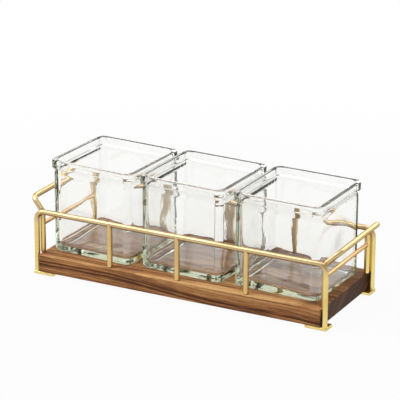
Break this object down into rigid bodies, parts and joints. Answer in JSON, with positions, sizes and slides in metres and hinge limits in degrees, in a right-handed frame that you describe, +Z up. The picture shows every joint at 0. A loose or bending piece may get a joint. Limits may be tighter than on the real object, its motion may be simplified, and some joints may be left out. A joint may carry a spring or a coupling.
{
  "type": "jar rack",
  "caption": "Long wooden tray with a low gallery and raised end handles of bent wire, holding a row of lift-out square pressed-glass jars for straws, stirrers or packets.",
  "frame": {"origin": "centre of the footprint, on the surface that the foot plates stand on", "axes": "+X along the plank towards the right end as seen from the front, +Y towards the back, +Z up"},
  "size_m": [0.3764, 0.1302, 0.1302],
  "materials": {
    "walnut": "oiled walnut, satin",
    "gold_wire": "satin brass",
    "gold_plate": "satin brass",
    "screw_steel": "bright zinc",
    "pressed_glass": "clear with a faint green edge"
  },
  "bodies": {
    "rack": {"base_board": "walnut", "foot_plate_front_left": "gold_plate", "foot_plate_front_right": "gold_plate", "foot_plate_back_left": "gold_plate", "foot_plate_back_right": "gold_plate", "foot_screw_front_left": "screw_steel", "foot_screw_front_right": "screw_steel", "foot_screw_back_left": "screw_steel", "foot_screw_back_right": "screw_steel", "front_rail": "gold_wire", "back_rail": "gold_wire", "front_upright_1": "gold_wire", "front_upright_2": "gold_wire", "front_upright_3": "gold_wire", "back_upright_1": "gold_wire", "back_upright_2": "gold_wire", "back_upright_3": "gold_wire", "left_handle": "gold_wire", "right_handle": "gold_wire", "left_end_rail": "gold_wire", "right_end_rail": "gold_wire"},
    "left_jar": {"jar_left": "pressed_glass"},
    "middle_jar": {"jar_middle": "pressed_glass"},
    "right_jar": {"jar_right": "pressed_glass"}
  },
  "joints": [
    {"name": "jar_left_lift", "type": "slide", "parent": "rack", "child": "left_jar", "axis": [0, 0, 1], "range_m": [0, 0.14]},
    {"name": "jar_middle_lift", "type": "slide", "parent": "rack", "child": "middle_jar", "axis": [0, 0, 1], "range_m": [0, 0.14]},
    {"name": "jar_right_lift", "type": "slide", "parent": "rack", "child": "right_jar", "axis": [0, 0, 1], "range_m": [0, 0.14]}
  ]
}
